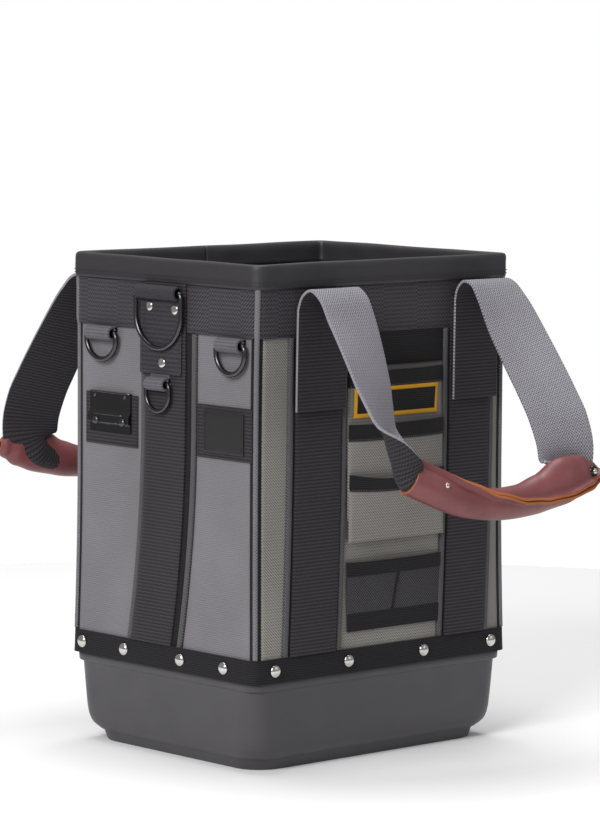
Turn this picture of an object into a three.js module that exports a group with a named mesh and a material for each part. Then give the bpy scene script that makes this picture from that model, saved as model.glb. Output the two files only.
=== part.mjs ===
// Open top tool tote: a tall cloth bag on a moulded base tray, with webbing straps, two loop
// handles with leather grips, tool pockets in front and four D-rings on one narrow side.
// Millimetres, +Z up. The origin is the middle of the underside of the base tray.
// X runs along the wide sides, the pockets face -Y and the D-rings face -X.

import * as THREE from 'three';

// Overall sizes of the cloth body, measured at its waist.
const bodyWidth = 298;
const bodyDepth = 240;
const bodyTop = 437;
const waistHeight = 265;
const widthFlareLow = 1.5;
const widthFlareHigh = -1;
const depthFlareLow = 2.5;
const depthFlareHigh = 1.5;
const cornerRadius = 7;
const clothThickness = 2.6;

// Fits between neighbours.
const gap = 0.3;
const ringPlay = 0.35;

// Base tray.
const trayHeight = 79;
const trayLip = 7;
const trayWall = 3.2;
const trayFloor = 5;
const footHeight = 9.2;
const flangeHeight = 18;

// Webbing band round the foot of the body, with its rivets.
const bandHeight = 20.8;
const webbingThin = 1.8;
const rivetDiameter = 11.5;
const rivetHead = 3;

// Upper band and rim binding.
const upperBandHeight = 61;
const upperBandThickness = 1.2;
const rimHeight = 21.5;
const rimOuter = 2.8;
const rimInner = 2.4;
const rimCrown = 3;

// Straps: webbing on a piped backing.
const strapWidth = 53;
const strapThickness = 2.2;
const backingMargin = 8;
const backingThickness = 1.2;
const leftStrapPlace = -79;
const rightStrapPlace = 106;
const strapTopDrop = 33;

// Handles and grips.
const handleThickness = 2.4;
const handleSewnLength = 88;
const handleCrestDrop = 18;
const handleReach = 118;
const handleDrop = 172;
const rollTurn = 320;
const gripStart = 0.2;
const gripEnd = 1.05;
const gripPlay = 1;
const leatherThickness = 2.2;
const seamFin = 6;

// Front pockets, from the top. drop: mouth below the upper band; bulge: how far its mouth stands
// open in the middle.
const firstPocket = { drop: 33, deep: 84, bulge: 5.4 };
const secondPocket = { drop: 79.5, deep: 84, bulge: 6.2 };
const thirdPocket = { drop: 123, deep: 60, bulge: 6.8 };
const pocketClearance = 0.8;
const pocketCloth = 1.3;
const hemThickness = 1.9;
const hemHeight = 14.5;
const labelWidth = 104;
const labelHeight = 26.5;
const labelThickness = 0.9;
const meshTop = 175.5;
const meshHeight = 61;
const meshBulge = 5.4;

// Rings: straight bar on top, round bow below. drop: how far the bar is below what it hangs from,
// which is the body's top for the large ring, the ring strap's foot for the small one, and the
// upper band for the other two.
const largeRing = { place: 1, drop: 27, inside: 56, reach: 49, wire: 4.6, tab: 54 };
const smallRing = { place: 0.6, drop: 8.5, inside: 27, reach: 24, wire: 4, tab: 24.5 };
const leftRing = { place: -81, drop: 6.5, inside: 36, reach: 23.5, wire: 4.8, tab: 33 };
const rightRing = { place: 92, drop: 6.5, inside: 32, reach: 25, wire: 4.8, tab: 29 };
const tabThickness = 1.8;
const ringStrapLength = 71.5;

// Patches on the ringed side.
const patchHeight = 46;
const patchWidth = 71.4;
const patchDrop = 60;
const leftPatchPlace = -70.5;
const rightPatchPlace = 81;
const patchThickness = 1;
const plateWidth = 56;
const plateHeight = 35.5;
const plateRise = 1.5;
const plateThickness = 1.4;
const plateTongue = 2.4;
const vinylSize = 52;
const vinylHeight = 36;
const vinylThickness = 1.2;

const bandTop = trayHeight + gap + bandHeight;
const rimLow = bodyTop + rimCrown - rimHeight;
const upperBandLow = bodyTop - upperBandHeight;
const strapTop = bodyTop - strapTopDrop;
const handleCrest = bodyTop - handleCrestDrop;
const patchTop = upperBandLow - patchDrop;
const hungFrom = (height, ring) => ({ ...ring, bar: height - ring.drop });
const ringStrapLow = bodyTop - largeRing.drop - ringStrapLength;
const hungRings = {
  large: hungFrom(bodyTop, largeRing),
  small: hungFrom(ringStrapLow, smallRing),
  left: hungFrom(upperBandLow, leftRing),
  right: hungFrom(upperBandLow, rightRing),
};
const backingHalf = strapWidth / 2 + backingMargin;
const pocketLeft = leftStrapPlace + backingHalf + pocketClearance;
const pocketRight = rightStrapPlace - backingHalf - pocketClearance;
const handleWidth = strapWidth;
const rollRadius = handleWidth / THREE.MathUtils.degToRad(rollTurn);

const finish = (color, roughness, metalness = 0) =>
  new THREE.MeshStandardMaterial({ color, roughness, metalness });
const materials = {
  grayCloth: finish(0x7b787a, 0.85),
  blackCloth: finish(0x29282b, 0.85),
  webbing: finish(0x2b292b, 0.8),
  grayWebbing: finish(0x96949a, 0.8),
  vinyl: finish(0x39383b, 0.5),
  plastic: finish(0x48464a, 0.45),
  leather: finish(0x7d4a4a, 0.5),
  mesh: finish(0x1d1c1e, 0.9),
  label: finish(0xd9a21b, 0.7),
  darkSteel: finish(0x2c2c30, 0.3, 1),
  steel: finish(0xc4c4c6, 0.25, 1),
};

// A side's own frame: u runs to the right as seen from outside, v outward from the cloth.
const sides = {
  front: { turn: 0, half: bodyDepth / 2, low: depthFlareLow, high: depthFlareHigh, length: bodyWidth },
  right: { turn: Math.PI / 2, half: bodyWidth / 2, low: widthFlareLow, high: widthFlareHigh, length: bodyDepth },
  rear: { turn: Math.PI, half: bodyDepth / 2, low: depthFlareLow, high: depthFlareHigh, length: bodyWidth },
  left: { turn: -Math.PI / 2, half: bodyWidth / 2, low: widthFlareLow, high: widthFlareHigh, length: bodyDepth },
};

const object = new THREE.Group();
const sideGroups = {};
for (const [name, side] of Object.entries(sides)) {
  const group = new THREE.Group();
  group.rotation.z = side.turn;
  sideGroups[name] = group;
  object.add(group);
}

function addPiece(parent, name, geometry, material) {
  const mesh = new THREE.Mesh(geometry, material);
  mesh.name = name;
  parent.add(mesh);
  return mesh;
}

// How far the cloth stands out from its waist at a height.
function flareAt(low, high, z) {
  if (z < waistHeight) return low * ((waistHeight - z) / (waistHeight - bandTop)) ** 2;
  return high * ((z - waistHeight) / (bodyTop - waistHeight)) ** 2;
}

const clothLine = (side, z) => side.half + flareAt(side.low, side.high, z);

// A closed body through rings of points. The ends are capped in strips from side to side, which
// suits both convex rings and rings that run out along one face of a wall and back along the other.
function skin(rings, loop = false) {
  const count = rings[0].length;
  const positions = rings.flat().flatMap((p) => [p.x, p.y, p.z]);
  const index = [];
  const quad = (a, b, c, d) => index.push(a, b, c, a, c, d);
  const spans = loop ? rings.length : rings.length - 1;
  for (let i = 0; i < spans; i++) {
    const here = i * count;
    const next = ((i + 1) % rings.length) * count;
    for (let j = 0; j < count; j++) {
      const k = (j + 1) % count;
      quad(here + j, here + k, next + k, next + j);
    }
  }
  if (!loop) {
    const last = (rings.length - 1) * count;
    for (let j = 0; j < count / 2 - 1; j++) {
      const across = count - 1 - j;
      quad(j, across, across - 1, j + 1);
      quad(last + j, last + j + 1, last + across - 1, last + across);
    }
  }
  let volume = 0;
  const corner = (i) => new THREE.Vector3().fromArray(positions, 3 * index[i]);
  for (let i = 0; i < index.length; i += 3) {
    volume += corner(i).dot(corner(i + 1).cross(corner(i + 2)));
  }
  if (volume < 0) index.reverse();
  const geometry = new THREE.BufferGeometry();
  geometry.setAttribute('position', new THREE.Float32BufferAttribute(positions, 3));
  geometry.setIndex(index);
  return geometry;
}

// A rounded rectangle seen from above, at one height.
function roundedRing(halfX, halfY, radius, z, steps = 4) {
  const ring = [];
  for (const [sx, sy, start] of [[1, 1, 0], [-1, 1, 90], [-1, -1, 180], [1, -1, 270]]) {
    for (let i = 0; i <= steps; i++) {
      const angle = THREE.MathUtils.degToRad(start + (90 * i) / steps);
      const x = sx * (halfX - radius) + radius * Math.cos(angle);
      const y = sy * (halfY - radius) + radius * Math.sin(angle);
      ring.push(new THREE.Vector3(x, y, z));
    }
  }
  return ring;
}

// The ring that stands out from the cloth by a distance, at a height.
function bodyRing(out, z) {
  const halfX = clothLine(sides.left, z) + out;
  const halfY = clothLine(sides.front, z) + out;
  return roundedRing(halfX, halfY, cornerRadius + out, z);
}

// A sheet that lies on one side of the body and follows it. left and right may change with z.
function layer({ side, left, right, low, high, off, thick, bulge = () => 0, stepsU = 1, stepsZ = 4 }) {
  const geometry = new THREE.BoxGeometry(1, 1, 1, stepsU, 1, stepsZ);
  const points = geometry.attributes.position;
  const edge = (value, z) => (typeof value === 'function' ? value(z) : value);
  for (let i = 0; i < points.count; i++) {
    const z = low + (points.getZ(i) + 0.5) * (high - low);
    const share = points.getX(i) + 0.5;
    const u = THREE.MathUtils.lerp(edge(left, z), edge(right, z), share);
    const v = off + thick * (0.5 - points.getY(i)) + bulge(share, z);
    points.setXYZ(i, u, -(clothLine(side, z) + v), z);
  }
  return geometry;
}

// An outline of v and z, drawn along a side for a width about a place.
function acrossSide(side, shape, place, width) {
  const geometry = new THREE.ExtrudeGeometry(shape, { depth: width, bevelEnabled: false, curveSegments: 5 });
  const points = geometry.attributes.position;
  for (let i = 0; i < points.count; i++) {
    const u = place + width / 2 - points.getZ(i);
    const z = points.getY(i);
    points.setXYZ(i, u, -(clothLine(side, z) + points.getX(i)), z);
  }
  return geometry;
}

// Base tray: rings up the outside, over the flange and down the inside to the floor.
function makeTray() {
  const lipX = clothLine(sides.left, trayHeight) - 0.5;
  const lipY = clothLine(sides.front, trayHeight) - 0.5;
  const drop = trayHeight - trayLip;
  // in: how far inside the lip; up: share of the height below the lip; round: corner radius.
  const outside = [
    { in: 14.5, up: 0, round: 26 },
    { in: 11.2, up: footHeight / drop, round: 27 },
    { in: 8.2, up: 0.165, round: 26 },
    { in: 5, up: 0.22, round: 24 },
    { in: 3, up: 0.33, round: 21 },
    { in: 2.4, up: 0.5, round: 19 },
    { in: 1.4, up: 1, round: 16 },
  ];
  const wallRing = (row, inset, z) => roundedRing(
    lipX - row.in - inset, lipY - row.in - inset, Math.max(row.round - inset, 4), z);
  const flangeOut = clothThickness + gap;
  const rings = outside.map((row) => wallRing(row, 0, row.up * drop));
  rings.push(roundedRing(lipX, lipY, cornerRadius + 5, drop + 0.5));
  rings.push(roundedRing(lipX, lipY, cornerRadius + 3, trayHeight));
  rings.push(bodyRing(-flangeOut, trayHeight));
  rings.push(bodyRing(-flangeOut, trayHeight + flangeHeight));
  rings.push(bodyRing(-flangeOut - trayWall, trayHeight + flangeHeight));
  rings.push(bodyRing(-flangeOut - trayWall, trayHeight));
  for (const row of outside.slice(2).reverse()) {
    rings.push(wallRing(row, trayWall + 2, Math.max(row.up * drop, trayFloor)));
  }
  rings[rings.length - 1].forEach((p) => p.setZ(trayFloor));
  return skin(rings);
}

addPiece(object, 'base_tray', makeTray(), materials.plastic);

// Cloth panels, with the corner pipings between them.
const panelLow = trayHeight + gap;
for (const [name, side] of Object.entries(sides)) {
  const reach = (z) => {
    const other = name === 'front' || name === 'rear' ? sides.left : sides.front;
    return clothLine(other, z) - cornerRadius - gap / 2;
  };
  addPiece(sideGroups[name], `${name}_panel`, layer({
    side, left: (z) => -reach(z), right: reach, low: panelLow, high: bodyTop - gap,
    off: -clothThickness, thick: clothThickness, stepsZ: 8,
  }), materials.grayCloth);
}

// A corner piping is a quarter ring, with a bead that stands proud between the two bands.
function makePiping(signX, signY, start) {
  const bead = 1.2;
  const beadLow = bandTop + gap;
  const beadHigh = upperBandLow - gap;
  const rows = [[panelLow, 0], [beadLow, 0], [beadLow + 1, bead]];
  for (let i = 1; i < 5; i++) rows.push([beadLow + 1 + ((beadHigh - beadLow - 2) * i) / 5, bead]);
  rows.push([beadHigh - 1, bead], [beadHigh, 0], [bodyTop - gap, 0]);
  return skin(rows.map(([z, proud]) => {
    const centre = new THREE.Vector3(
      signX * (clothLine(sides.left, z) - cornerRadius),
      signY * (clothLine(sides.front, z) - cornerRadius), z);
    const along = (radius, backwards) => {
      const arc = [];
      for (let i = 0; i <= 4; i++) {
        const share = (backwards ? 4 - i : i) / 4;
        const angle = THREE.MathUtils.degToRad(start + 90 * share);
        const swell = radius + (backwards ? 0 : proud * Math.sin(Math.PI * share));
        arc.push(new THREE.Vector3(
          centre.x + swell * Math.cos(angle), centre.y + swell * Math.sin(angle), z));
      }
      return arc;
    };
    return [...along(cornerRadius, false), ...along(cornerRadius - clothThickness, true)];
  }));
}

[[1, 1, 0], [-1, 1, 90], [-1, -1, 180], [1, -1, 270]].forEach(([signX, signY, start], i) => {
  addPiece(object, `corner_piping_${i + 1}`, makePiping(signX, signY, start), materials.grayWebbing);
});

// A band that runs round the body: its section is a list of distances out and heights.
const aroundBody = (section) => skin(section.map(([out, z]) => bodyRing(out, z)), true);

addPiece(object, 'base_band', aroundBody([
  [gap, trayHeight + gap], [gap, bandTop],
  [gap + webbingThin, bandTop], [gap + webbingThin, trayHeight + gap],
]), materials.webbing);

addPiece(object, 'upper_band', aroundBody([
  [gap, upperBandLow], [gap, bodyTop - gap],
  [gap + upperBandThickness, bodyTop - gap], [gap + upperBandThickness, upperBandLow],
]), materials.blackCloth);

// Rim binding: a folded strip over the top edge, with a rounded crown.
function makeRim() {
  const outer = gap + upperBandThickness + gap;
  const inner = -clothThickness - gap;
  const crown = bodyTop + rimCrown;
  return aroundBody([
    [outer, rimLow], [outer, bodyTop], [inner, bodyTop], [inner, rimLow + 2],
    [inner - rimInner, rimLow + 2], [inner - rimInner, bodyTop - 1],
    [inner - rimInner + 1.2, crown - 0.6], [inner + 1, crown],
    [outer - 0.5, crown], [outer + rimOuter - 1.2, crown - 0.8],
    [outer + rimOuter, bodyTop - 1.5], [outer + rimOuter, rimLow + 1], [outer + rimOuter - 1, rimLow],
  ]);
}

addPiece(object, 'rim_binding', makeRim(), materials.vinyl);

// Rivets on the base band, four to a side, at the places where each side's webbing is held, as
// shares of the side's length from its middle.
const rivetShares = {
  front: [-0.4342, -0.1446, 0.1607, 0.443],
  left: [-0.45, -0.2083, 0.1104, 0.35],
  rear: [-0.4342, -0.1446, 0.1607, 0.443],
  right: [-0.3833, -0.1333, 0.1333, 0.3833],
};

function makeRivet(diameter, head) {
  const profile = [new THREE.Vector2(0, 0), new THREE.Vector2(diameter / 2, 0)];
  for (let i = 1; i <= 3; i++) {
    const angle = (Math.PI / 2) * (i / 3);
    const radius = i === 3 ? 0 : (diameter / 2) * Math.cos(angle);
    profile.push(new THREE.Vector2(radius, head * (0.25 + 0.75 * Math.sin(angle))));
  }
  return new THREE.LatheGeometry(profile, 10);
}

let rivetNumber = 1;
for (const [name, shares] of Object.entries(rivetShares)) {
  const side = sides[name];
  const z = trayHeight + gap + bandHeight / 2;
  for (const share of shares) {
    const number = String(rivetNumber++).padStart(2, '0');
    const rivet = addPiece(sideGroups[name], `base_rivet_${number}`,
      makeRivet(rivetDiameter, rivetHead), materials.steel);
    rivet.rotation.x = Math.PI;
    rivet.position.set(share * side.length, -(clothLine(side, z) + gap + webbingThin + gap), z);
  }
}

// Straps run from the base band up to the handle crest, on a backing with piped edges. Those of the
// front and of the ringed side lean a little near their feet.
const strapLow = bandTop + gap;
const backingOff = gap;
const strapOff = gap + upperBandThickness + gap;
const sideStrapPlace = 5;
const sideStrapLean = -17;
const frontStrapLean = -7;
const sideBackingMargin = 13;
const leanAboveWaist = 35;

const leaning = (place, lean) => (z) => {
  const leanTop = waistHeight + leanAboveWaist;
  const fall = Math.max(0, leanTop - z) / (leanTop - bandTop);
  return place + lean * fall ** 2;
};

const frontLeanAt = leaning(0, frontStrapLean);

function addStrap(sideName, name, middle, top, withBacking, rightMargin = backingMargin) {
  const side = sides[sideName];
  const left = (z) => middle(z) - strapWidth / 2;
  const right = (z) => middle(z) + strapWidth / 2;
  const off = withBacking ? strapOff : gap;
  const thick = strapThickness + (withBacking ? 0 : strapOff - gap);
  const high = withBacking ? top : upperBandLow - gap;
  addPiece(sideGroups[sideName], `${name}_strap`, layer({
    side, left, right, low: strapLow, high, off, thick, stepsZ: 8,
  }), materials.webbing);
  if (!withBacking) return;
  const backLeft = (z) => middle(z) - backingHalf;
  const backRight = (z) => middle(z) + strapWidth / 2 + rightMargin;
  addPiece(sideGroups[sideName], `${name}_strap_backing`, layer({
    side, left: backLeft, right: backRight, low: strapLow, high: upperBandLow - gap,
    off: backingOff, thick: backingThickness, stepsZ: 8,
  }), materials.grayWebbing);
}

addStrap('front', 'front_left', leaning(leftStrapPlace, frontStrapLean), strapTop, true);
addStrap('front', 'front_right', leaning(rightStrapPlace, frontStrapLean), strapTop, true);
addStrap('rear', 'rear_left', () => leftStrapPlace, strapTop, true);
addStrap('rear', 'rear_right', () => rightStrapPlace, strapTop, true);
addStrap('left', 'left', leaning(sideStrapPlace, sideStrapLean), rimLow - gap, true, sideBackingMargin);
addStrap('right', 'right', () => 0, upperBandLow, false);

// Handle webbing. It is sewn flat over the left strap, rises to the crest, hangs out and down to
// the grip, runs through it rolled up, and comes back the same way to the right strap.
// along: share of the way from left strap to right strap; out: share of the reach; down: share of
// the drop below the crest; across: direction from the outer edge to the inner; roll: 0 flat, 1 rolled.
const handleRows = [
  { along: 0, out: 0.1, down: 0.035, across: [1, 0, 0], roll: 0 },
  { along: 0, out: 0.2, down: 0, across: [1, 0, 0], roll: 0 },
  { along: 0, out: 0.31, down: 0.045, across: [1, 0, 0], roll: 0 },
  { along: 0, out: 0.39, down: 0.14, across: [1, 0.02, 0], roll: 0 },
  { along: 0, out: 0.5, down: 0.3, across: [1, 0.1, 0], roll: 0 },
  { along: 0.005, out: 0.61, down: 0.47, across: [0.97, 0.25, 0], roll: 0.01 },
  { along: 0.015, out: 0.72, down: 0.66, across: [0.85, 0.55, 0], roll: 0.08 },
  { along: 0.04, out: 0.81, down: 0.81, across: [0.55, 0.85, 0.1], roll: 0.4 },
  { along: 0.11, out: 0.87, down: 0.93, across: [0.2, 1, 0.1], roll: 0.85 },
  { along: 0.2, out: 0.91, down: 0.98, across: [0, 1, 0], roll: 1 },
  { along: 0.35, out: 0.95, down: 1.04, across: [0, 1, 0], roll: 1 },
  { along: 0.52, out: 0.98, down: 1.07, across: [0, 1, 0], roll: 1 },
  { along: 0.7, out: 0.99, down: 1.08, across: [0, 1, 0], roll: 1 },
  { along: 0.88, out: 1, down: 1.04, across: [0, 1, 0], roll: 1 },
  { along: 1.04, out: 1.01, down: 0.985, across: [0, 1, 0], roll: 1 },
  { along: 1.13, out: 1.02, down: 0.93, across: [-0.3, 0.95, 0.1], roll: 0.85 },
  { along: 1.12, out: 1.02, down: 0.83, across: [-0.7, 0.75, 0], roll: 0.4 },
  { along: 1.05, out: 0.97, down: 0.7, across: [-0.88, 0.48, 0], roll: 0.08 },
  { along: 1.01, out: 0.86, down: 0.54, across: [-0.9, 0.42, 0], roll: 0.01 },
  { along: 1, out: 0.7, down: 0.4, across: [-0.93, 0.35, 0], roll: 0 },
  { along: 1, out: 0.49, down: 0.21, across: [-0.97, 0.22, 0], roll: 0 },
  { along: 1, out: 0.36, down: 0.08, across: [-1, 0.1, 0], roll: 0 },
  { along: 1, out: 0.25, down: 0.01, across: [-1, 0, 0], roll: 0 },
  { along: 1, out: 0.15, down: 0, across: [-1, 0, 0], roll: 0 },
  { along: 1, out: 0.08, down: 0.045, across: [-1, 0, 0], roll: 0 },
];
const sewnOff = strapOff + strapThickness + gap + handleThickness / 2;
const sewnHigh = strapTop - 4;
const frontSide = sides.front;

function sewnRow(place, across, share) {
  const z = sewnHigh - handleSewnLength * share;
  const point = new THREE.Vector3(place, -(clothLine(frontSide, z) + sewnOff), z);
  return { point, across: new THREE.Vector3(...across), roll: 0 };
}

function handleRow(row) {
  const x = THREE.MathUtils.lerp(leftStrapPlace, rightStrapPlace, row.along);
  const z = handleCrest - handleDrop * row.down;
  const y = -(clothLine(frontSide, waistHeight) + handleReach * row.out);
  return { point: new THREE.Vector3(x, y, z), across: new THREE.Vector3(...row.across), roll: row.roll };
}

const sewnShares = [0, 0.04, 0.12, 0.4, 0.7, 1];
const handleStations = [
  ...sewnShares.toReversed().map((share) => sewnRow(leftStrapPlace, [1, 0, 0], share)),
  ...handleRows.map(handleRow),
  ...sewnShares.map((share) => sewnRow(rightStrapPlace, [-1, 0, 0], share)),
];
const handlePath = new THREE.CatmullRomCurve3(handleStations.map((s) => s.point), false, 'centripetal');

// The path's point, its across and inward directions and its roll at a share of the stations.
function handleFrame(share) {
  const last = handleStations.length - 1;
  const at = Math.min(share * last, last - 1e-6);
  const i = Math.floor(at);
  const part = at - i;
  const tangent = handlePath.getTangent(share);
  const across = handleStations[i].across.clone().normalize()
    .lerp(handleStations[i + 1].across.clone().normalize(), part);
  across.addScaledVector(tangent, -across.dot(tangent)).normalize();
  const inward = new THREE.Vector3().crossVectors(tangent, across);
  const ease = part * part * (3 - 2 * part);
  const roll = THREE.MathUtils.lerp(handleStations[i].roll, handleStations[i + 1].roll, ease);
  return { point: handlePath.getPoint(share), tangent, across, inward, roll };
}

function makeHandle() {
  const stepsAcross = 8;
  const spans = handleStations.length - 1;
  const rings = [];
  for (let i = 0; i <= spans; i++) {
    const { point, across, inward, roll } = handleFrame(i / spans);
    const turn = THREE.MathUtils.degToRad(rollTurn) * Math.max(roll, 0.002);
    const radius = handleWidth / turn;
    const face = (facing, backwards) => {
      const points = [];
      for (let j = 0; j <= stepsAcross; j++) {
        const angle = turn * ((backwards ? stepsAcross - j : j) / stepsAcross - 0.5);
        const reach = radius - (facing * handleThickness) / 2;
        points.push(point.clone()
          .addScaledVector(across, reach * Math.sin(angle))
          .addScaledVector(inward, radius - reach * Math.cos(angle) - roll * rollRadius));
      }
      return points;
    };
    rings.push([...face(-1, false), ...face(1, true)]);
  }
  return skin(rings);
}

// Leather grip: a split tube round the rolled webbing. Its two edges stand side by side in a
// seam, which winds from the top at the left end to the lower front at the right end.
const seamRows = [
  { share: 0, angle: 8 },
  { share: 0.35, angle: 55 },
  { share: 0.7, angle: 100 },
  { share: 1, angle: 138 },
];

function seamAngle(share) {
  const after = Math.max(1, seamRows.findIndex((row) => row.share >= share));
  const a = seamRows[after - 1];
  const b = seamRows[after];
  return THREE.MathUtils.mapLinear(share, a.share, b.share, a.angle, b.angle);
}

function shareOfAlong(along) {
  const x = THREE.MathUtils.lerp(leftStrapPlace, rightStrapPlace, along);
  const first = handleStations.findIndex((s) => s.roll === 1);
  let low = first / (handleStations.length - 1);
  let high = 1 - (first + 1) / (handleStations.length - 1);
  for (let i = 0; i < 40; i++) {
    const middle = (low + high) / 2;
    if (handlePath.getPoint(middle).x < x) low = middle;
    else high = middle;
  }
  return low;
}

function makeGrip() {
  const inside = rollRadius + handleThickness / 2 + gripPlay;
  const outside = inside + leatherThickness;
  const start = shareOfAlong(gripStart);
  const end = shareOfAlong(gripEnd);
  const spans = 12;
  const stepsAround = 14;
  const rings = [];
  for (let i = 0; i <= spans; i++) {
    const { point, tangent } = handleFrame(THREE.MathUtils.lerp(start, end, i / spans));
    const toFront = new THREE.Vector3(0, -1, 0);
    toFront.addScaledVector(tangent, -toFront.dot(tangent)).normalize();
    const up = new THREE.Vector3().crossVectors(toFront, tangent).negate();
    const angle = THREE.MathUtils.degToRad(seamAngle(i / spans));
    const seam = up.clone().multiplyScalar(Math.cos(angle)).addScaledVector(toFront, Math.sin(angle));
    const beside = new THREE.Vector3().crossVectors(seam, tangent);
    const at = (along, aside) => point.clone().addScaledVector(seam, along).addScaledVector(beside, aside);
    const face = (radius, half, backwards) => {
      const bend = Math.asin(half / radius);
      const points = [at(outside + seamFin, half)];
      for (let j = 0; j <= stepsAround; j++) {
        const around = THREE.MathUtils.lerp(bend, 2 * Math.PI - bend, j / stepsAround);
        points.push(at(radius * Math.cos(around), radius * Math.sin(around)));
      }
      points.push(at(outside + seamFin, -half));
      return backwards ? points.reverse() : points;
    };
    rings.push([...face(outside, gap / 2 + leatherThickness, false), ...face(inside, gap / 2, true)]);
  }
  return skin(rings);
}

for (const name of ['front', 'rear']) {
  addPiece(sideGroups[name], `${name}_handle`, makeHandle(), materials.grayWebbing);
  addPiece(sideGroups[name], `${name}_grip`, makeGrip(), materials.leather);
}

// Front pockets. Each is a bowed sheet with a thicker hem at its mouth, open at the top, and a
// lower pocket covers the foot of the one above it and stands off the cloth by its tier.
const tierOff = pocketCloth + gap;

const bowedBy = (bulge, low, high) => (share, z) => {
  const across = 1 - (2 * share - 1) ** 4;
  const up = THREE.MathUtils.clamp((z - low) / (high - low), 0, 1);
  return bulge * across * up ** 2;
};

function makePocket(pocket, tier) {
  const high = upperBandLow - pocket.drop;
  const low = high - pocket.deep;
  const off = gap + tier * tierOff;
  const bow = bowedBy(pocket.bulge, low, high);
  const hemLow = high - hemHeight;
  const line = (share, z) => {
    const u = THREE.MathUtils.lerp(pocketLeft, pocketRight, share) + frontLeanAt(z);
    return { u, line: clothLine(frontSide, z) + off + bow(share, z) };
  };
  const rings = [];
  const stepsAcross = 10;
  const levels = [0, 0.15, 0.35, 0.65, 1].map((part) => ({ z: low + part * (hemLow - low), thick: pocketCloth }));
  levels.push({ z: hemLow, thick: hemThickness }, { z: high, thick: hemThickness });
  for (const { z, thick } of levels) {
    const face = (extra, backwards) => {
      const points = [];
      for (let j = 0; j <= stepsAcross; j++) {
        const at = line((backwards ? stepsAcross - j : j) / stepsAcross, z);
        points.push(new THREE.Vector3(at.u, -(at.line + extra), z));
      }
      return points;
    };
    rings.push([...face(thick, false), ...face(0, true)]);
  }
  return skin(rings);
}

[firstPocket, secondPocket, thirdPocket].forEach((pocket, tier) => {
  addPiece(sideGroups.front, `pocket_${tier + 1}`, makePocket(pocket, tier), materials.grayCloth);
});

const firstMouth = upperBandLow - firstPocket.drop;
const labelTop = firstMouth - hemHeight - gap;
const pocketWidth = pocketRight - pocketLeft;
const labelShare = (share) => 0.5 + ((share - 0.5) * labelWidth) / pocketWidth;
const firstBow = bowedBy(firstPocket.bulge, firstMouth - firstPocket.deep, firstMouth);
const labelMiddle = (pocketLeft + pocketRight) / 2;
addPiece(sideGroups.front, 'label_patch', layer({
  side: frontSide, left: labelMiddle - labelWidth / 2, right: labelMiddle + labelWidth / 2,
  low: labelTop - labelHeight, high: labelTop,
  off: gap + pocketCloth + 1.5 * gap, thick: labelThickness,
  bulge: (share, z) => firstBow(labelShare(share), z), stepsU: 10, stepsZ: 2,
}), materials.label);

addPiece(sideGroups.front, 'mesh_pocket', layer({
  side: frontSide, left: (z) => pocketLeft + frontLeanAt(z), right: (z) => pocketRight + frontLeanAt(z),
  low: meshTop - meshHeight, high: meshTop,
  off: gap, thick: pocketCloth, bulge: bowedBy(meshBulge, meshTop - meshHeight, meshTop), stepsU: 10, stepsZ: 5,
}), materials.mesh);

// Rings and the webbing tabs that hold their bars. A tab is a tongue against the cloth or the
// strap that ends in a loop round the bar.
const tabLoop = (ring) => ring.wire / 2 + ringPlay + tabThickness;

function makeTab(ring, off, tongueEnd) {
  const loop = tabLoop(ring);
  const middle = off + loop;
  const shape = new THREE.Shape();
  const reach = Math.acos((loop - tabThickness) / loop);
  if (tongueEnd > ring.bar) {
    const meets = Math.PI / 2 + (Math.PI / 2 - reach);
    shape.moveTo(off, tongueEnd);
    shape.lineTo(off, ring.bar);
    shape.absarc(middle, ring.bar, loop, Math.PI, 2 * Math.PI + meets, false);
    shape.lineTo(off + tabThickness, tongueEnd);
  } else {
    const meets = Math.PI + reach;
    shape.moveTo(off + tabThickness, tongueEnd);
    shape.lineTo(off + tabThickness, ring.bar - loop * Math.sin(reach));
    shape.absarc(middle, ring.bar, loop, meets, Math.PI + 2 * Math.PI, false);
    shape.lineTo(off, tongueEnd);
  }
  shape.closePath();
  const hole = new THREE.Path();
  hole.absarc(middle, ring.bar, loop - tabThickness, 0, 2 * Math.PI, true);
  shape.holes.push(hole);
  return acrossSide(sides.left, shape, ring.place, ring.tab);
}

// A ring's outline, drawn from the middle of its bar, is swept with a round wire.
function makeRing(ring) {
  const half = (ring.inside + ring.wire) / 2;
  const corner = ring.wire;
  const bow = Math.min(half, ring.reach - corner);
  const outline = [];
  const arc = (cx, cz, rx, rz, from, to, steps) => {
    for (let i = 0; i <= steps; i++) {
      const angle = THREE.MathUtils.degToRad(THREE.MathUtils.lerp(from, to, i / steps));
      outline.push({ x: cx + rx * Math.cos(angle), z: cz + rz * Math.sin(angle), angle });
    }
  };
  arc(half - corner, -corner, corner, corner, 90, 0, 3);
  arc(0, bow - ring.reach, half, bow, 0, -180, 14);
  arc(corner - half, -corner, corner, corner, 180, 90, 3);
  const wireSides = 6;
  const rings = outline.map((here, i) => {
    const before = outline[(i + outline.length - 1) % outline.length];
    const after = outline[(i + 1) % outline.length];
    const along = new THREE.Vector2(after.x - before.x, after.z - before.z).normalize();
    const points = [];
    for (let j = 0; j < wireSides; j++) {
      const angle = (2 * Math.PI * (j + 0.5)) / wireSides;
      const reach = (ring.wire / 2) * Math.cos(angle);
      points.push(new THREE.Vector3(
        here.x + along.y * reach, (ring.wire / 2) * Math.sin(angle), here.z - along.x * reach));
    }
    return points;
  });
  return skin(rings, true);
}

function addRing(name, ring, off) {
  const mesh = addPiece(sideGroups.left, name, makeRing(ring), materials.darkSteel);
  mesh.position.set(ring.place, -(clothLine(sides.left, ring.bar) + off + tabLoop(ring)), ring.bar);
}

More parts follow.
